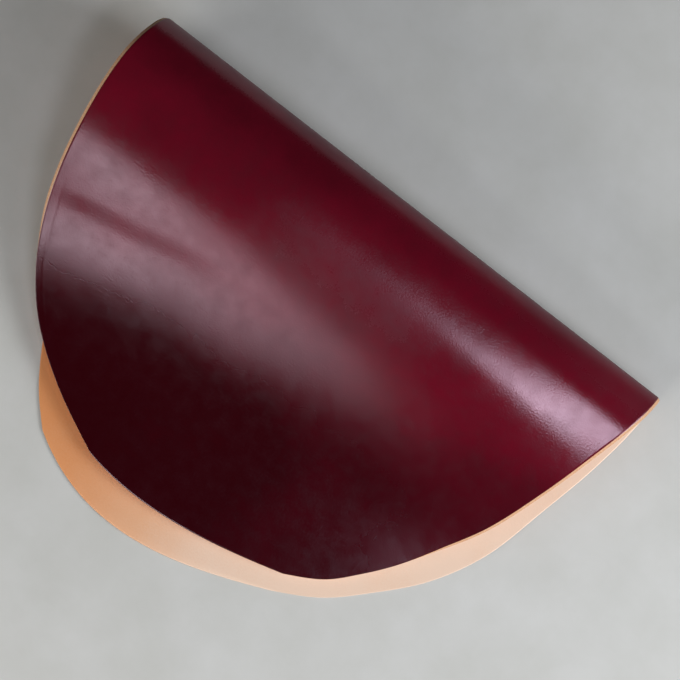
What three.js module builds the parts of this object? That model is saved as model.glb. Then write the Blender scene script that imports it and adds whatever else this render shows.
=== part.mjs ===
// One oval piece of glazed cordovan leather, folded once over a soft roll.
// The lower half lies flat with its glazed face down, and the upper half falls back over it in a long S.
// Millimetres, +Z up. X runs along the fold, and the fold is on the +Y side.

import * as THREE from 'three';
import { mergeVertices } from 'three/addons/utils/BufferGeometryUtils.js';

// Leather
const THICKNESS = 1.5;
const GLAZED_BURGUNDY = 0x5a0b1e;
const GLAZE_ROUGHNESS = 0.28;

// The cut outline, read flat. across is measured along the leather from the outermost line of the fold,
// negative on the lower half. left and right are the cut edges, measured along the fold from its middle.
const CUT = [
  { across: -289, left: -109, right: 82 },
  { across: -270, left: -129, right: 112 },
  { across: -245, left: -147, right: 137 },
  { across: -210, left: -168, right: 166 },
  { across: -169, left: -185, right: 187 },
  { across: -122, left: -197, right: 199 },
  { across: -72, left: -204, right: 210 },
  { across: -27, left: -206, right: 215 },
  { across: 23, left: -207, right: 210 },
  { across: 67, left: -209, right: 200 },
  { across: 113, left: -207, right: 189 },
  { across: 156, left: -202, right: 176 },
  { across: 191, left: -193, right: 159 },
  { across: 221, left: -178, right: 143 },
  { across: 246, left: -155, right: 126 },
  { across: 268, left: -119, right: 108 },
  { across: 286, left: -74, right: 83 },
];
// Each far edge runs a little aslant between two corners of the cut and bulges out between them.
// slant is how much further out the left corner lies than the middle, bulge is added at the middle.
const LOWER_END = { slant: 7, bulge: 26 };
const UPPER_END = { slant: 11, bulge: 10 };
const END_SKEW = 0.27; // the bulge is fuller towards the left
const END_REACH = 150; // lines across the leather are straight inside this distance from the fold

// The fold, in section. The roll is half an ellipse that is tall at the left end and low at the right.
const FOLD_HALF_LENGTH = 209;
const ROLL = { leftDepth: 40, rightDepth: 30, leftHeight: 78, rightHeight: 40 };
// Past the crest of the roll the upper half falls in a long S and ends level, just above the lower half.
const FALL = { leftEnd: 287, rightEnd: 242, leftLift: 12, rightLift: 5, sag: 2.55 };
const FLARE = 2; // the roll and the fall widen towards the left end with this power of the way there
const REACH = 325; // both halves end inside this distance from the fold

// Mesh steps
const STEPS_ALONG = 20;
const STEPS_LOWER = 10;
const STEPS_ROLL = 26;
const STEPS_UPPER = 16;
const ROLL_REACH = 75; // the roll takes up this much leather on either side of its outermost line
const SECTION_SAMPLES = 600;
const STRETCHES = 3; // of the section: flat lower half, roll, falling upper half

// A size that changes from the left end of the fold to the right end, evenly or with a power.
function alongFold(along, atLeft, atRight, power = 1) {
  const toLeft = Math.max(0, 0.5 - along / (2 * FOLD_HALF_LENGTH));
  return THREE.MathUtils.lerp(atRight, atLeft, toLeft ** power);
}

// The glazed face in section: x is the distance in from the outermost line of the fold, y the height.
// The parameter spends an equal share on each stretch.
class FoldSection extends THREE.Curve {
  constructor(along) {
    super();
    this.arcLengthDivisions = SECTION_SAMPLES;
    this.height = alongFold(along, ROLL.leftHeight, ROLL.rightHeight);
    this.lift = alongFold(along, FALL.leftLift, FALL.rightLift);
    this.depth = alongFold(along, ROLL.leftDepth, ROLL.rightDepth, FLARE);
    this.end = alongFold(along, FALL.leftEnd, FALL.rightEnd, FLARE);
  }

  getPoint(t, target = new THREE.Vector2()) {
    const stretch = Math.min(Math.floor(t * STRETCHES), STRETCHES - 1);
    const part = t * STRETCHES - stretch;
    if (stretch === 0) return target.set(THREE.MathUtils.lerp(REACH, this.depth, part), 0);
    if (stretch === 1) {
      const turn = Math.PI * (part - 0.5);
      return target.set(this.depth * (1 - Math.cos(turn)), (this.height / 2) * (1 + Math.sin(turn)));
    }
    const out = THREE.MathUtils.lerp(this.depth, REACH, part);
    const way = Math.min(1, (out - this.depth) / (this.end - this.depth));
    const fall = (1 - way) ** 2 * (1 + 2 * way - FALL.sag * way ** 2);
    return target.set(out, this.lift + (this.height - this.lift) * fall);
  }

  // The arc-length parameter of a point that lies this far along the leather from the outermost line.
  at(across) {
    const lengths = this.getLengths();
    const outermost = lengths[SECTION_SAMPLES / 2];
    return (outermost + across) / lengths[SECTION_SAMPLES];
  }
}

// Left and right cut edges between the rows of the table.
const cutEdges = new THREE.CubicInterpolant(
  CUT.map((row) => row.across),
  CUT.flatMap((row) => [row.left, row.right]),
  2,
);

// Where the lines across the leather lie, close together on the roll.
function acrossStations() {
  const first = CUT[0].across;
  const last = CUT[CUT.length - 1].across;
  const stretches = [
    { from: first, to: -ROLL_REACH, steps: STEPS_LOWER },
    { from: -ROLL_REACH, to: ROLL_REACH, steps: STEPS_ROLL },
    { from: ROLL_REACH, to: last, steps: STEPS_UPPER },
  ];
  const stations = [first];
  for (const { from, to, steps } of stretches) {
    for (let step = 1; step <= steps; step += 1) stations.push(THREE.MathUtils.lerp(from, to, step / steps));
  }
  return stations;
}

// A point of the flat piece: side runs from -1 at the left cut edge to 1 at the right one.
function flatPoint(station, side) {
  const [left, right] = cutEdges.evaluate(station);
  const end = station < 0 ? LOWER_END : UPPER_END;
  const last = station < 0 ? CUT[0].across : CUT[CUT.length - 1].across;
  const nearEnd = Math.max(0, (Math.abs(station) - END_REACH) / (Math.abs(last) - END_REACH)) ** 2;
  const bulge = end.bulge * (1 - side ** 2) * (1 - END_SKEW * side);
  const further = (bulge - end.slant * side) * nearEnd;
  return {
    along: THREE.MathUtils.mapLinear(side, -1, 1, left, right),
    across: station + Math.sign(station) * further,
  };
}

// Wraps a point of the flat piece over the fold. depth is how far it lies under the glazed face.
function foldedPoint({ along, across }, depth) {
  const section = new FoldSection(along);
  const place = section.at(across);
  const point = section.getPointAt(place);
  const tangent = section.getTangentAt(place);
  return new THREE.Vector3(along, -(point.x + tangent.y * depth), point.y - tangent.x * depth);
}

// The piece starts as a thin slab of unit size, cut into steps, and each of its corners is moved into place.
function foldedLeather() {
  const stations = acrossStations();
  const stepsAcross = stations.length - 1;
  const slab = new THREE.BoxGeometry(2, 1, 1, STEPS_ALONG, stepsAcross, 1);
  slab.deleteAttribute('normal');
  slab.deleteAttribute('uv');
  const corners = slab.getAttribute('position');
  const corner = new THREE.Vector3();
  for (let index = 0; index < corners.count; index += 1) {
    corner.fromBufferAttribute(corners, index);
    const station = stations[Math.round((corner.y + 0.5) * stepsAcross)];
    const depth = corner.z > 0 ? THICKNESS : 0;
    corner.copy(foldedPoint(flatPoint(station, corner.x), depth));
    corners.setXYZ(index, corner.x, corner.y, corner.z);
  }
  const leather = mergeVertices(slab);
  leather.computeBoundingBox();
  const middle = leather.boundingBox.getCenter(new THREE.Vector3());
  leather.translate(-middle.x, -middle.y, -leather.boundingBox.min.z);
  leather.computeVertexNormals();
  return leather;
}

const glazedLeather = new THREE.MeshStandardMaterial({
  color: GLAZED_BURGUNDY,
  roughness: GLAZE_ROUGHNESS,
  metalness: 0,
});

const foldedHide = new THREE.Mesh(foldedLeather(), glazedLeather);
foldedHide.name = 'folded_hide';

const cordovanLeather = new THREE.Group();
cordovanLeather.add(foldedHide);

export default cordovanLeather;
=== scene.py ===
# %% [markdown]
# # A folded piece of cordovan leather
# Cordovan is the dense fibre layer under a horse's rump. It is tanned, dyed, and polished until its grain
# side shines like glass, while the flesh side stays a soft natural tan. This piece is a rough oval,
# folded over once, and it lies on its own lower half. The scene is one thin sheet of leather, so nearly
# all of the work is in the curve of the fold and in the three surfaces: glazed face, flesh side and raw
# cut edge.

# %% The frame
import bmesh
import bpy
import math
import numpy as np
from mathutils import Matrix, Vector, noise


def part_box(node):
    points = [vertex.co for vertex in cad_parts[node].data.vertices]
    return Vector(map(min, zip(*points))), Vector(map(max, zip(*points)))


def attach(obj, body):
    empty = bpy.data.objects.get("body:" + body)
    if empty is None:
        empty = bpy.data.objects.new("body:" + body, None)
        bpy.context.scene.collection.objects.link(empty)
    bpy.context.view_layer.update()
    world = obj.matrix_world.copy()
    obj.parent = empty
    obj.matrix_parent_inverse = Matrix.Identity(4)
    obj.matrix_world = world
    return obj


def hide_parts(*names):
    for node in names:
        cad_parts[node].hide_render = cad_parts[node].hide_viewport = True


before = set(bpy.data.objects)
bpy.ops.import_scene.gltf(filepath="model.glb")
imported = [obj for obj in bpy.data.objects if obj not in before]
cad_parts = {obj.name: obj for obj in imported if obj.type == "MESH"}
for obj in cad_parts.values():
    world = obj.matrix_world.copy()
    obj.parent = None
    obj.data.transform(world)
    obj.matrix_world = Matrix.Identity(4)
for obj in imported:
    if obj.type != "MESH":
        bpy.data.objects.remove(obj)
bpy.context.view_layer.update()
low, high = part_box("folded_hide")
print("the CAD solid reaches from", tuple(low), "to", tuple(high))

# %% [markdown]
# ## The camera
# The photograph looks straight down on the leather. The fold runs from the upper left to the lower right
# of the picture, so the camera is turned about its own line of sight. A long lens 1.1 m up keeps the
# outline almost flat. The camera comes first, because every later choice is judged through it.

# %% A camera straight overhead
MM = 0.001
CAMERA_HEIGHT = 1100 * MM
VIEW_WIDTH = 476 * MM  # how much floor the picture takes in from side to side
SENSOR = 36.0  # Blender's camera sensor width, in its own millimetres
CAMERA_FROM_FOLD = 102 * MM  # how far in from the fold's outermost line the camera hangs
CAMERA_ALONG = 12.7 * MM
PICTURE_TURN = math.radians(37.53)

camera_data = bpy.data.cameras.new("overhead_camera")
camera_data.sensor_width = SENSOR
camera_data.lens = SENSOR * CAMERA_HEIGHT / VIEW_WIDTH
camera = bpy.data.objects.new("overhead_camera", camera_data)
camera.location = (CAMERA_ALONG, high.y - CAMERA_FROM_FOLD, CAMERA_HEIGHT)
camera.rotation_euler = (0, 0, PICTURE_TURN)
bpy.context.scene.collection.objects.link(camera)
bpy.context.scene.camera = camera
print("lens", round(camera_data.lens, 1), "mm")

# %% [markdown]
# ## The cut outline
# A cutter follows the edge of the usable fibre with a knife, so the outline is an uneven oval. It is
# described flat, before folding: rows that run across the leather, each with its left and right cut edge.
# Smooth curves through the rows give the edge between them. Other ways would be a drawn curve object or a
# traced path, but a short table of rows keeps the flat size easy to read and to change.

# %% The outline, read flat in millimetres
# Each row: distance across the leather from the outermost line of the fold, left edge, right edge.
CUT = [
    (-289, -109, 82), (-270, -129, 112), (-245, -147, 137), (-210, -168, 166), (-169, -185, 187),
    (-122, -197, 199), (-72, -204, 210), (-27, -206, 215), (23, -207, 210), (67, -209, 200),
    (113, -207, 189), (156, -202, 176), (191, -193, 159), (221, -178, 143), (246, -155, 126),
    (268, -119, 108), (286, -74, 83),
]
FIRST_ROW, LAST_ROW = CUT[0][0], CUT[-1][0]
# Each far edge leans a little and bulges out between two corners of the cut.
LOWER_SLANT, LOWER_BULGE = 7, 26
UPPER_SLANT, UPPER_BULGE = 11, 10
END_SKEW = 0.27  # the bulge is fuller towards the left
END_REACH = 150  # rows nearer to the fold than this are straight


def smooth_through(places, values, wanted):
    """A smooth curve through the rows, with no bend at its two ends."""
    places, values = np.array(places, float), np.array(values, float)
    step, rise = np.diff(places), np.diff(values)
    lean = np.empty(len(places))
    lean[1:-1] = (values[2:] - values[:-2]) / (places[2:] - places[:-2])
    lean[0] = 1.5 * rise[0] / step[0] - 0.5 * lean[1]
    lean[-1] = 1.5 * rise[-1] / step[-1] - 0.5 * lean[-2]
    row = np.clip(np.searchsorted(places, wanted) - 1, 0, len(step) - 1)
    way = (wanted - places[row]) / step[row]
    turn = way * way * (3 - 2 * way)
    leave = way * (1 - way) ** 2 * step[row] * lean[row]
    arrive = way * way * (way - 1) * step[row] * lean[row + 1]
    return values[row] + turn * rise[row] + leave + arrive


def flat_point(station, side, trim):
    """A place on the flat leather. side is -1 at the left edge and 1 at the right, trim moves the edge out."""
    rows = [row[0] for row in CUT]
    left = smooth_through(rows, [row[1] for row in CUT], station) - trim
    right = smooth_through(rows, [row[2] for row in CUT], station) + trim
    below = station < 0
    slant = np.where(below, LOWER_SLANT, UPPER_SLANT)
    bulge = np.where(below, LOWER_BULGE, UPPER_BULGE)
    last = np.where(below, -FIRST_ROW, LAST_ROW)
    near_end = np.maximum(0, (np.abs(station) - END_REACH) / (last - END_REACH)) ** 2
    further = (bulge * (1 - side ** 2) * (1 - END_SKEW * side) - slant * side + trim) * near_end
    along = left + (right - left) * (side + 1) / 2
    return along, station + np.sign(station) * further


ROWS_READ = 200
widest = flat_point(np.linspace(FIRST_ROW, LAST_ROW, ROWS_READ), np.ones(ROWS_READ), 0)[0].max()
print("the right edge bulges out to", round(float(widest)), "mm")

# %% [markdown]
# ## The fold in section
# Cut across the fold, the leather lies flat, turns over in a springy roll that is taller at the left end
# than at the right, and then falls in one long S until it almost touches its lower half. The roll is half
# an ellipse and the S a short polynomial, the same as in the CAD solid, so the sheet lies in the solid's
# place. A cloth simulation would also fold a sheet, but this leather is stiff and its glossy face shows
# every wobble, so a drawn section is cleaner.

# %% The section of the fold
FOLD_HALF_LENGTH = 209
ROLL_DEPTH = (40, 30)  # at the left end and at the right end
ROLL_HEIGHT = (78, 40)
FALL_END = (287, 242)  # where the upper half has come down
FALL_LIFT = (12, 5)  # and how high it then lies
FALL_SAG = 2.55  # above 2 the steepest part of the fall moves towards the fold
FLARE = 2
REACH = 325
SAMPLES = 301  # of each of the three stretches
SECTIONS = 90  # drawn along the fold, and blended in between
SECTION_SPAN = 225


def along_fold(along, ends, power=1):
    """A size that changes from the left end of the fold to the right end."""
    to_left = max(0.0, 0.5 - along / (2 * FOLD_HALF_LENGTH))
    return ends[1] + (ends[0] - ends[1]) * to_left ** power


def fold_section(along):
    """The glazed face at one place: length along the leather, distance in from the fold, height."""
    depth, end = along_fold(along, ROLL_DEPTH, FLARE), along_fold(along, FALL_END, FLARE)
    height, lift = along_fold(along, ROLL_HEIGHT), along_fold(along, FALL_LIFT)
    part = np.linspace(0, 1, SAMPLES)
    turn = math.pi * (part - 0.5)
    upper = depth + (REACH - depth) * part
    way = np.minimum(1, (upper - depth) / (end - depth))
    fall = (1 - way) ** 2 * (1 + 2 * way - FALL_SAG * way ** 2)
    lower = REACH + (depth - REACH) * part
    roll_in, roll_up = depth * (1 - np.cos(turn)), height / 2 * (1 + np.sin(turn))
    inward = np.concatenate([lower, roll_in[1:], upper[1:]])
    heights = np.concatenate([0 * part, roll_up[1:], lift + (height - lift) * fall[1:]])
    lengths = np.concatenate([[0], np.cumsum(np.hypot(np.diff(inward), np.diff(heights)))])
    return lengths - lengths[SAMPLES + SAMPLES // 2 - 1], inward, heights


section_places = np.linspace(-SECTION_SPAN, SECTION_SPAN, SECTIONS)
sections = [fold_section(place) for place in section_places]
print("leather in the section at the left end:", round(float(np.ptp(sections[0][0]))), "mm")


# %% Wrapping a flat place over the fold
def folded_point(along, across, depth):
    """Where a flat place lies once the leather is folded. depth is measured inwards from the glazed face."""
    spot = (along + SECTION_SPAN) / (2 * SECTION_SPAN) * (SECTIONS - 1)
    before = np.clip(spot.astype(int), 0, SECTIONS - 2)
    inward, height = np.zeros(len(along)), np.zeros(len(along))
    for index in range(SECTIONS - 1):
        here = before == index
        for section, share in ((index, 1 - (spot[here] - index)), (index + 1, spot[here] - index)):
            lengths, drawn_in, drawn_up = sections[section]
            lean_in, lean_up = np.gradient(drawn_in, lengths), np.gradient(drawn_up, lengths)
            reach, rise = (np.interp(across[here], lengths, line) for line in (lean_in, lean_up))
            inward[here] += share * (np.interp(across[here], lengths, drawn_in) + rise * depth[here])
            height[here] += share * (np.interp(across[here], lengths, drawn_up) - reach * depth[here])
    return inward, height


# %% [markdown]
# ## Small unevenness
# A glazed sheet is never a perfect surface. It has long shallow waves with shorter ripples in them, the
# left edge carries a soft lip where it was once bent, and one slight step crosses the steep part of the
# fall. They are only tenths of a millimetre high, but they bend the reflections, which is what tells the
# eye that this is leather and not lacquered metal. The far edge also droops, by almost two millimetres
# towards the right.

# %% Waves, ripples, lip, step and droop
WAVE_LENGTH, WAVE_HEIGHT, WAVE_LAYER = 75, 0.16, 0.5
RIPPLE_LENGTH, RIPPLE_HEIGHT, RIPPLE_LAYER = 24, 0.035, 3.5  # another layer of the same noise
LIP_IN, LIP_WIDTH, LIP_DEPTH = 6.6, 1.1, 0.07  # a trough this far in from the left cut edge
LIP_FROM, LIP_TO, LIP_FADE = 150, 265, 25
STEP_LINE = [(-215, 172), (-189, 166), (-166, 160), (-140, 155), (-105, 145), (-61, 136), (-20, 130)]
STEP_WIDTH, STEP_HEIGHT = (15, 26), (0.31, 0.48)  # at its left and right end
STEP_FROM, STEP_TO = -205, -35
STEP_FADE_IN, STEP_FADE_OUT = 25, 70  # it begins and ends over these lengths
STEP_RECOVERY = (10, 60)  # past its line the face comes back up between these two distances
DROOP, DROOP_FROM, DROOP_TO = 1.7, 212, 300  # the far edge hangs a little
DROOP_ALONG = (-90, 10)  # only towards the right
UNEVEN_FROM, UNEVEN_FULL = -10, 40  # the lower half lies flat, so none of this reaches it


def soft_step(value, start, end):
    """0 before start, 1 after end, and a smooth rise in between."""
    way = np.clip((value - start) / (end - start), 0, 1)
    return way * way * (3 - 2 * way)


def relief(along, across, from_left):
    """How far the glazed face stands out of its ideal curve, in millimetres."""
    places = list(zip(along, across))
    waves = [noise.noise((x / WAVE_LENGTH, y / WAVE_LENGTH, WAVE_LAYER)) for x, y in places]
    lip_begins = soft_step(across, LIP_FROM, LIP_FROM + LIP_FADE)
    lip_span = lip_begins * soft_step(-across, -LIP_TO, LIP_FADE - LIP_TO)
    lip = np.exp(-((from_left - LIP_IN) / LIP_WIDTH) ** 2) * lip_span
    ripples = [noise.noise((x / RIPPLE_LENGTH, y / RIPPLE_LENGTH, RIPPLE_LAYER)) for x, y in places]
    line = np.interp(along, *zip(*STEP_LINE))
    width, drop = (np.interp(along, (STEP_FROM, STEP_TO), ends) for ends in (STEP_WIDTH, STEP_HEIGHT))
    begins = soft_step(along, STEP_FROM, STEP_FROM + STEP_FADE_IN)
    step_span = begins * soft_step(-along, -STEP_TO, STEP_FADE_OUT - STEP_TO)
    recovers = soft_step(-across, -line - STEP_RECOVERY[1], -line - STEP_RECOVERY[0])
    step = soft_step(across, line - width / 2, line + width / 2) * recovers
    droop = soft_step(across, DROOP_FROM, DROOP_TO) * soft_step(along, *DROOP_ALONG)
    on_upper = soft_step(across, UNEVEN_FROM, UNEVEN_FULL)
    uneven = WAVE_HEIGHT * np.array(waves) + RIPPLE_HEIGHT * np.array(ripples)
    return on_upper * (uneven - LIP_DEPTH * lip - drop * step * step_span - DROOP * droop)


# %% [markdown]
# ## The sheet of leather
# Two fine grids, one for the glazed face and one for the flesh side, start as flat squares. Every corner
# of a grid is moved to its place on the cut outline and then over the fold. A knife held at a slant
# leaves the flesh side up to two millimetres wider than the face, so the cut edge shows from above as a
# thin pale line. The two grids are joined by bridging their borders. The outermost line of each grid is
# sunk a little, which softens the corners of the cut.

# %% Two grids
THICKNESS = 1.5
CUT_SLANT = 2.0  # how much wider the flesh side is cut
UPRIGHT, UPRIGHT_FROM, UPRIGHT_FULL = 0.9, 170, 220  # the cut loses this share of its slant on the upper half
ARRIS = 0.2  # how deep the outermost line is sunk
BORDER = 0.9999  # corners past this share of the grid's half width are its outermost line
COLUMNS = 160
EDGE_CROWDING = 0.75  # columns crowd towards the left and right edges
ROLL_REACH = 75  # rows crowd together this near to the outermost line of the fold
END_ROW = 0.8  # the first and the last row of faces are this narrow
ROW_STEPS = [
    (0, FIRST_ROW), (1, FIRST_ROW + END_ROW), (50, -ROLL_REACH),
    (120, ROLL_REACH), (229, LAST_ROW - END_ROW), (230, LAST_ROW),
]
ROWS = ROW_STEPS[-1][0]
GLAZED, FLESH, EDGE = 0, 1, 2  # material slots

leather = bmesh.new()
flat_map = leather.loops.layers.uv.new("flat")
ideal = {}
for finish, depth, trim in ((GLAZED, 0.0, 0.0), (FLESH, THICKNESS, CUT_SLANT)):
    corners = bmesh.ops.create_grid(leather, x_segments=COLUMNS, y_segments=ROWS, size=1)["verts"]
    column = np.array([corner.co.x for corner in corners])
    row = np.array([(corner.co.y + 1) / 2 * ROWS for corner in corners])
    side = (1 - EDGE_CROWDING) * column + EDGE_CROWDING * np.sin(column * math.pi / 2)
    station = np.interp(row, *zip(*ROW_STEPS))
    wider = trim * (1 - UPRIGHT * soft_step(station, UPRIGHT_FROM, UPRIGHT_FULL))
    along, across = flat_point(station, side, wider)
    left_edge = flat_point(station, -np.ones(len(side)), wider)[0]
    stand_out = relief(along, across, along - left_edge)
    at_border = np.maximum(np.abs(column), np.abs(row / ROWS * 2 - 1)) > BORDER
    sunk = np.where(at_border, ARRIS if finish == GLAZED else -ARRIS, 0.0)
    inward, height = folded_point(along, across, depth + sunk - stand_out)
    for corner, x, y, z, s in zip(corners, along, inward, height, across):
        corner.co = (x * MM, -y * MM, z * MM)
        for loop in corner.link_loops:
            loop[flat_map].uv = (x * MM, s * MM)
            loop.face.material_index = finish
            loop.face.smooth = True
    print("grid with", len(corners), "corners")

# %% Closing the cut edge
border = [edge for edge in leather.edges if edge.is_boundary]
rim = bmesh.ops.bridge_loops(leather, edges=border)["faces"]
for face in rim:
    face.material_index = EDGE
    face.smooth = False
    for loop in face.loops:
        inside = [other for other in loop.vert.link_loops if other.face.material_index != EDGE]
        loop[flat_map].uv = inside[0][flat_map].uv
bmesh.ops.recalc_face_normals(leather, faces=leather.faces)
print("bridged", len(rim), "faces; open edges left:", sum(edge.is_boundary for edge in leather.edges))

# %% Setting the sheet on the floor
X_MIDDLE = 2.98  # the fold's own middle is this far from the middle of the box
lowest = min(corner.co.z for corner in leather.verts)
bmesh.ops.translate(leather, verts=leather.verts, vec=(-X_MIDDLE * MM, high.y, -lowest))
leather_mesh = bpy.data.meshes.new("leather_sheet")
leather.to_mesh(leather_mesh)
leather_area = sum(face.calc_area() for face in leather.faces if face.material_index == GLAZED)
leather.free()
leather_sheet = bpy.data.objects.new("leather_sheet", leather_mesh)
bpy.context.scene.collection.objects.link(leather_sheet)
print("glazed face", round(leather_area, 4), "square metres;", len(leather_mesh.polygons), "faces")

# %% [markdown]
# ## Tools for the finishes
# The finishes are made of shader nodes. One small function adds a node with its settings and links, and
# one turns the colour codes that a screen shows into the linear light that Blender calculates with.


# %% Colour and node helpers
def linear(code):
    """A screen colour such as #5a0b1e as linear red, green, blue and an alpha of 1."""
    parts = [int(code[i:i + 2], 16) / 255 for i in (1, 3, 5)]
    return [c / 12.92 if c <= 0.04045 else ((c + 0.055) / 1.055) ** 2.4 for c in parts] + [1.0]


def add(tree, kind, links=None, ramp=None, **settings):
    """Adds one node. links gives its inputs, as values or as the sockets that feed them."""
    node = tree.nodes.new(kind)
    for name, value in settings.items():
        setattr(node, name, value)
    for name, value in (links or {}).items():
        if isinstance(value, bpy.types.NodeSocket):
            tree.links.new(value, node.inputs[name])
        else:
            node.inputs[name].default_value = value
    for index, (place, colour) in enumerate(ramp or []):
        stops = node.color_ramp.elements
        stop = stops[index] if index < 2 else stops.new(place)
        stop.position, stop.color = place, colour
    return node


def per_metre(size_mm):
    """A texture scale for a pattern whose features are about this many millimetres across."""
    return 1000 / size_mm


print("burgundy in linear light:", [round(c, 3) for c in linear("#5a0b1e")])

# %% [markdown]
# ## The glazed face
# The face is dyed burgundy and rubbed with a glass roller under pressure. The dye sinks in unevenly, so
# the colour drifts between almost black and cherry red over a hand's width, with finer mottling inside
# that. The rubbing leaves a smooth, slightly waxy shine. A clear varnish layer would be one way to make
# it. Here the leather itself has a low roughness that changes a little from place to place, because
# cordovan carries no varnish.

# %% Glazed cordovan
glazed = bpy.data.materials.new("glazed_burgundy_cordovan")
glazed.use_nodes = True
tree = glazed.node_tree
tree.nodes.clear()
flat = add(tree, "ShaderNodeUVMap", uv_map="flat").outputs["UV"]
drift = add(
    tree, "ShaderNodeTexNoise",
    {"Vector": flat, "Scale": per_metre(80), "Detail": 3.0, "Roughness": 0.5},
)
mottle = add(
    tree, "ShaderNodeTexNoise",
    {"Vector": flat, "Scale": per_metre(12), "Detail": 4.0, "Roughness": 0.6},
)
apart = add(tree, "ShaderNodeSeparateXYZ", {"Vector": flat})
# The colour turns darker away from the fold, from about 120 to 210 mm in, most of all towards the left end.
slanting = add(
    tree, "ShaderNodeMath", {0: apart.outputs["X"], 1: 0.2, 2: apart.outputs["Y"]}, operation="MULTIPLY_ADD"
)
darker_away_from_fold = add(
    tree, "ShaderNodeMapRange",
    {"Value": slanting.outputs[0], "From Min": 0.12, "From Max": 0.21, "To Min": 0.22, "To Max": 1.05},
    interpolation_type="SMOOTHSTEP",
)
darker_towards_left = add(
    tree, "ShaderNodeMapRange",
    {"Value": apart.outputs["X"], "From Min": 0.16, "From Max": 0.0, "To Min": 0.6, "To Max": 1.0},
)
darkening_away_and_left = add(
    tree, "ShaderNodeMath", {0: darker_away_from_fold.outputs["Result"], 1: darker_towards_left.outputs["Result"]}, operation="MULTIPLY"
)
uneven = add(tree, "ShaderNodeMath", {0: drift.outputs["Fac"], 1: 0.6, 2: -0.3}, operation="MULTIPLY_ADD")
dye = add(tree, "ShaderNodeMath", {0: darkening_away_and_left.outputs[0], 1: uneven.outputs[0]}, operation="ADD")
fine = add(tree, "ShaderNodeMath", {0: mottle.outputs["Fac"], 1: 0.24, 2: -0.12}, operation="MULTIPLY_ADD")
dye_amount = add(tree, "ShaderNodeMath", {0: dye.outputs[0], 1: fine.outputs[0]}, operation="ADD")
dye_colour = add(
    tree, "ShaderNodeValToRGB", {"Fac": dye_amount.outputs[0]},
    ramp=[(0.0, linear("#680b1f")), (1.0, linear("#2f0208")), (0.4, linear("#4c0715"))],
)
# One long faint scratch runs in from the left edge, 139.5 mm from the outermost line of the fold.
scratch_across = add(
    tree, "ShaderNodeValToRGB", {"Fac": apart.outputs["Y"]},
    ramp=[(0.1388, [0, 0, 0, 1]), (0.1402, [0, 0, 0, 1]), (0.1395, [1, 1, 1, 1])],
)
scratch_along = add(
    tree, "ShaderNodeMapRange",
    {"Value": apart.outputs["X"], "From Min": -0.138, "From Max": -0.19, "To Min": 0.0, "To Max": 0.16},
)
scratch = add(
    tree, "ShaderNodeMath", {0: scratch_across.outputs["Color"], 1: scratch_along.outputs["Result"]},
    operation="MULTIPLY",
)
face_colour = add(
    tree, "ShaderNodeMix", {0: scratch.outputs[0], 6: dye_colour.outputs["Color"], 7: linear("#c9b4c0")},
    data_type="RGBA",
)
# The fibre is far too fine for the picture, so its pebble is drawn about one millimetre wide.
pebble = add(
    tree, "ShaderNodeTexNoise",
    {"Vector": flat, "Scale": per_metre(1.2), "Detail": 2.0, "Roughness": 0.5},
)
# Shine: the pebble and the mottle change it a little, and the front of the roll is duller.
pebbled = add(
    tree, "ShaderNodeMapRange",
    {"Value": pebble.outputs["Fac"], "From Min": 0.3, "From Max": 0.7, "To Min": -0.02, "To Max": 0.02},
)
smudged = add(
    tree, "ShaderNodeMapRange",
    {"Value": mottle.outputs["Fac"], "From Min": 0.3, "From Max": 0.7, "To Min": 0.125, "To Max": 0.195},
)
rolled = add(
    tree, "ShaderNodeMapRange",
    {"Value": apart.outputs["Y"], "From Min": 0.01, "From Max": 0.043, "To Min": 0.3, "To Max": 0.0},
    interpolation_type="SMOOTHSTEP",
)
touched = add(
    tree, "ShaderNodeMath",
    {0: smudged.outputs["Result"], 1: rolled.outputs["Result"]}, operation="ADD",
)
shine = add(tree, "ShaderNodeMath", {0: pebbled.outputs["Result"], 1: touched.outputs[0]}, operation="ADD")
# The crest of the fold has been handled most in its middle, and is duller there too.
crest_near = add(
    tree, "ShaderNodeMapRange",
    {"Value": apart.outputs["Y"], "From Min": 0.05, "From Max": 0.08, "To Min": 0.0, "To Max": 0.15},
    interpolation_type="SMOOTHSTEP",
)
crest_far = add(
    tree, "ShaderNodeMapRange",
    {"Value": apart.outputs["Y"], "From Min": 0.085, "From Max": 0.12, "To Min": 1.0, "To Max": 0.0},
    interpolation_type="SMOOTHSTEP",
)
crest_left = add(
    tree, "ShaderNodeMapRange",
    {"Value": apart.outputs["X"], "From Min": -0.1, "From Max": -0.04, "To Min": 0.0, "To Max": 1.0},
    interpolation_type="SMOOTHSTEP",
)
crest_right = add(
    tree, "ShaderNodeMapRange",
    {"Value": apart.outputs["X"], "From Min": 0.03, "From Max": 0.09, "To Min": 1.0, "To Max": 0.0},
    interpolation_type="SMOOTHSTEP",
)
crest_across = add(
    tree, "ShaderNodeMath", {0: crest_near.outputs["Result"], 1: crest_far.outputs["Result"]},
    operation="MULTIPLY",
)
crest_along = add(
    tree, "ShaderNodeMath", {0: crest_left.outputs["Result"], 1: crest_right.outputs["Result"]},
    operation="MULTIPLY",
)
dullness = add(
    tree, "ShaderNodeMath", {0: crest_across.outputs[0], 1: crest_along.outputs[0], 2: shine.outputs[0]},
    operation="MULTIPLY_ADD",
)
skin = add(
    tree, "ShaderNodeBump", {"Strength": 0.45, "Distance": 0.0001, "Height": pebble.outputs["Fac"]}
)
glazed_shader = add(
    tree, "ShaderNodeBsdfPrincipled",
    {
        "Base Color": face_colour.outputs[2], "Roughness": dullness.outputs[0], "IOR": 1.6,
        "Specular Tint": linear("#ffe6f6"),
        "Normal": skin.outputs["Normal"],
    },
)
add(tree, "ShaderNodeOutputMaterial", {"Surface": glazed_shader.outputs["BSDF"]})
print("glazed face:", len(tree.nodes), "nodes")
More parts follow.
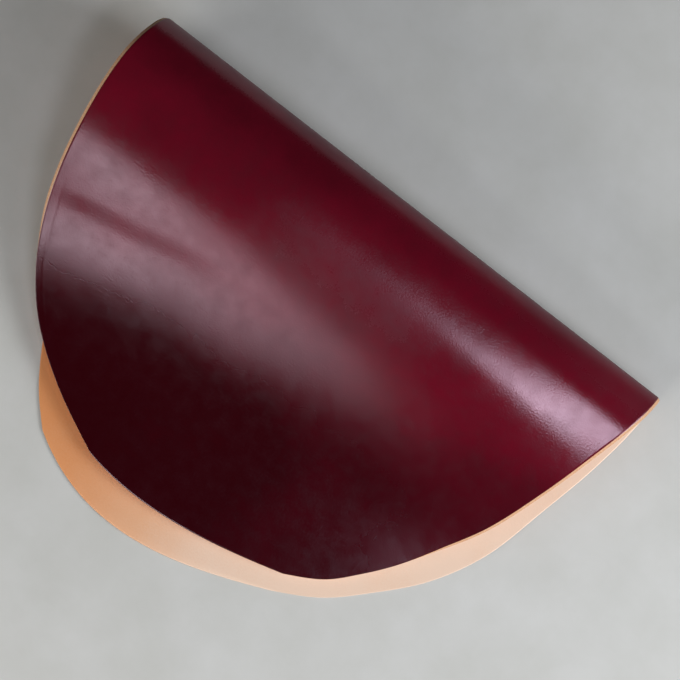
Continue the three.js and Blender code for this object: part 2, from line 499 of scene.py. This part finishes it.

# %% [markdown]
# ## The flesh side
# The back of the leather is left undyed. It is matt, with a short nap of cut fibres, and it runs from pale
# buff to a warmer orange tan, in patches where the tanning oils have gathered and more towards the left end.
# That leftward warmth is partly the tan's own tone and partly painted warm shade under the raised upper half.
# A flat colour would look like card, so two sizes of noise tint it and a fine bump breaks up the light.

# %% Natural flesh side
flesh = bpy.data.materials.new("natural_tan_flesh_side")
flesh.use_nodes = True
tree = flesh.node_tree
tree.nodes.clear()
flat = add(tree, "ShaderNodeUVMap", uv_map="flat").outputs["UV"]
apart = add(tree, "ShaderNodeSeparateXYZ", {"Vector": flat})
oils = add(
    tree, "ShaderNodeTexNoise",
    {"Vector": flat, "Scale": per_metre(60), "Detail": 3.0, "Roughness": 0.55},
)
nap = add(
    tree, "ShaderNodeTexNoise",
    {"Vector": flat, "Scale": per_metre(1.5), "Detail": 3.0, "Roughness": 0.6},
)
# Warmer orange towards the left end: partly the tan's own tone, partly painted warm shade under the raised
# upper half.
leftward_tone_and_warm_shade = add(
    tree, "ShaderNodeMapRange",
    {"Value": apart.outputs["X"], "From Min": 0.08, "From Max": -0.12, "To Min": 0.0, "To Max": 1.0},
    interpolation_type="SMOOTHSTEP",
)
oiled = add(tree, "ShaderNodeMath", {0: oils.outputs["Fac"], 1: 0.4, 2: -0.2}, operation="MULTIPLY_ADD")
tan_amount = add(tree, "ShaderNodeMath", {0: leftward_tone_and_warm_shade.outputs["Result"], 1: oiled.outputs[0]}, operation="ADD")
tan_fibre = add(tree, "ShaderNodeMath", {0: nap.outputs["Fac"], 1: 0.24, 2: -0.12}, operation="MULTIPLY_ADD")
tan_mix = add(tree, "ShaderNodeMath", {0: tan_amount.outputs[0], 1: tan_fibre.outputs[0]}, operation="ADD")
tan_colour = add(
    tree, "ShaderNodeValToRGB", {"Fac": tan_mix.outputs[0]},
    ramp=[(0.0, linear("#ecd0ba")), (1.0, linear("#dc935c")), (0.5, linear("#e3b08a"))],
)
nap_bump = add(tree, "ShaderNodeBump", {"Strength": 0.35, "Distance": 0.0003, "Height": nap.outputs["Fac"]})
flesh_shader = add(
    tree, "ShaderNodeBsdfPrincipled",
    {
        "Base Color": tan_colour.outputs["Color"], "Roughness": 0.85, "IOR": 1.45,
        "Normal": nap_bump.outputs["Normal"],
    },
)
add(tree, "ShaderNodeOutputMaterial", {"Surface": flesh_shader.outputs["BSDF"]})
print("flesh side:", len(tree.nodes), "nodes")

# %% [markdown]
# ## The cut edge
# A knife opens the leather like the edge of a plank: the middle is pale fibre, with the dye only skin
# deep. The edge is rough and matt. Its own material keeps the pale line crisp next to the dark face.

# %% Raw cut edge
cut_edge = bpy.data.materials.new("raw_knife_cut_edge")
cut_edge.use_nodes = True
tree = cut_edge.node_tree
tree.nodes.clear()
place = add(tree, "ShaderNodeTexCoord").outputs["Object"]
fibre = add(
    tree, "ShaderNodeTexNoise",
    {"Vector": place, "Scale": per_metre(0.9), "Detail": 3.0, "Roughness": 0.6},
)
edge_colour = add(
    tree, "ShaderNodeValToRGB", {"Fac": fibre.outputs["Fac"]},
    ramp=[(0.25, linear("#b9825c")), (0.75, linear("#dcb592"))],
)
fibre_bump = add(
    tree, "ShaderNodeBump",
    {"Strength": 0.4, "Distance": 0.0003, "Height": fibre.outputs["Fac"]},
)
edge_shader = add(
    tree, "ShaderNodeBsdfPrincipled",
    {"Base Color": edge_colour.outputs["Color"], "Roughness": 0.8, "Normal": fibre_bump.outputs["Normal"]},
)
add(tree, "ShaderNodeOutputMaterial", {"Surface": edge_shader.outputs["BSDF"]})
for finish in (glazed, flesh, cut_edge):
    leather_mesh.materials.append(finish)
print("finishes on the sheet:", [finish.name for finish in leather_mesh.materials])

# %% [markdown]
# ## Floor and light
# The leather lies on a plain pale floor. A glossy dark surface is lit by what it mirrors, so two lamps
# are placed where the face mirrors them into the camera: a long narrow window on the side away from the
# fold for the broad haze on the left, and a softbox high over the right for the bright band there. A
# large key lamp low on the right and a fill lamp low in front light the floor and the flesh side. The
# room is kept dark elsewhere, so that the burgundy stays deep.

# %% Plain floor
FLOOR_SIZE = 6.0
floor_shape = bmesh.new()
bmesh.ops.create_grid(floor_shape, x_segments=1, y_segments=1, size=FLOOR_SIZE / 2)
floor_mesh = bpy.data.meshes.new("floor")
floor_shape.to_mesh(floor_mesh)
floor_shape.free()
floor = bpy.data.objects.new("floor", floor_mesh)
bpy.context.scene.collection.objects.link(floor)
pale = bpy.data.materials.new("pale_plaster_floor")
pale.use_nodes = True
tree = pale.node_tree
tree.nodes.clear()
place = add(tree, "ShaderNodeTexCoord").outputs["Object"]
clouds = add(
    tree, "ShaderNodeTexNoise",
    {"Vector": place, "Scale": per_metre(70), "Detail": 5.0, "Roughness": 0.6},
)
floor_colour = add(
    tree, "ShaderNodeValToRGB", {"Fac": clouds.outputs["Fac"]},
    ramp=[(0.3, linear("#c4c6c2")), (0.7, linear("#ced0ce"))],
)
floor_shader = add(
    tree, "ShaderNodeBsdfPrincipled", {"Base Color": floor_colour.outputs["Color"], "Roughness": 0.9}
)
add(tree, "ShaderNodeOutputMaterial", {"Surface": floor_shader.outputs["BSDF"]})
floor_mesh.materials.append(pale)
print("floor", FLOOR_SIZE, "m wide")


# %% Lamps
def soft_lamp(name, place, aim, long_side, size, radiance, colour, fade=None):
    """A rectangular lamp that faces aim. Its power follows from its area and how bright its face looks."""
    lamp = bpy.data.lights.new(name, "AREA")
    lamp.shape = "RECTANGLE"
    lamp.size, lamp.size_y = size
    lamp.energy = radiance * math.pi * size[0] * size[1]
    lamp.color = linear(colour)[:3]
    if fade:
        lamp.use_nodes = True
        tree = lamp.node_tree
        face = add(tree, "ShaderNodeNewGeometry").outputs["Parametric"]
        across_face = add(tree, "ShaderNodeSeparateXYZ", {"Vector": face})
        shade = add(
            tree, "ShaderNodeValToRGB", {"Fac": across_face.outputs["X"]},
            ramp=[(spot, [share, share, share, 1]) for spot, share in fade],
        )
        tree.links.new(shade.outputs["Color"], tree.nodes["Emission"].inputs["Strength"])
    back = (Vector(place) - Vector(aim)).normalized()
    up = back.cross(Vector(long_side)).normalized()
    right = up.cross(back)
    lamp_object = bpy.data.objects.new(name, lamp)
    turn = Matrix((right, up, back)).transposed().to_4x4()
    lamp_object.matrix_world = Matrix.Translation(place) @ turn
    bpy.context.scene.collection.objects.link(lamp_object)


ALONG_FOLD = (1, 0, 0)
ROOM_LIGHT = 0.012
soft_lamp(
    "front_window", (-0.109, -0.995, 1.014), (-0.109, 0.02, 0.05), ALONG_FOLD, (0.9, 0.17), 6.0, "#ffffff",
    fade=[(0.0, 0.0), (1.0, 0.7), (0.2, 0.2), (0.4, 1.0), (0.6, 0.58), (0.8, 0.52)],
)
soft_lamp(
    "right_softbox", (0.712, -0.234, 1.6), (0.712, -0.234, 0.0), (0.941, -0.339, 0), (0.34, 0.65), 13.2,
    "#f4f4ff",
    fade=[(0.0, 0.0), (1.0, 0.04), (0.333, 0.83), (0.667, 1.0)],
)
soft_lamp("low_right_key", (1.45, 0.35, 0.8), (0.0, 0.0, 0.05), (0, 1, 0), (1.0, 0.8), 10.8, "#fdfdff")
soft_lamp("low_front_fill", (-0.5, -1.4, 0.5), (0, 0, 0.05), ALONG_FOLD, (1.6, 0.5), 7.6, "#fffaf4")

world = bpy.data.worlds.new("dim_room")
bpy.context.scene.world = world
world.use_nodes = True
world.node_tree.nodes["Background"].inputs["Color"].default_value = linear("#ffffff")
world.node_tree.nodes["Background"].inputs["Strength"].default_value = ROOM_LIGHT
bpy.context.scene.view_settings.view_transform = "Standard"

# %% [markdown]
# ## The flat outline and the body
# The flat size is worked out from the outline table above, then the sheet is attached to the root body and the
# CAD solid is hidden.

# %% Flat size, body and hidden solid
outline_rows = np.linspace(FIRST_ROW, LAST_ROW, 300)
edges = [flat_point(outline_rows, np.full(outline_rows.shape, side), 0)[0] for side in (-1.0, 1.0)]
sides = np.linspace(-1, 1, 101)
ends = [flat_point(np.full(sides.shape, float(row)), sides, 0)[1] for row in (FIRST_ROW, LAST_ROW)]
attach(leather_sheet, "root")
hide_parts("folded_hide")
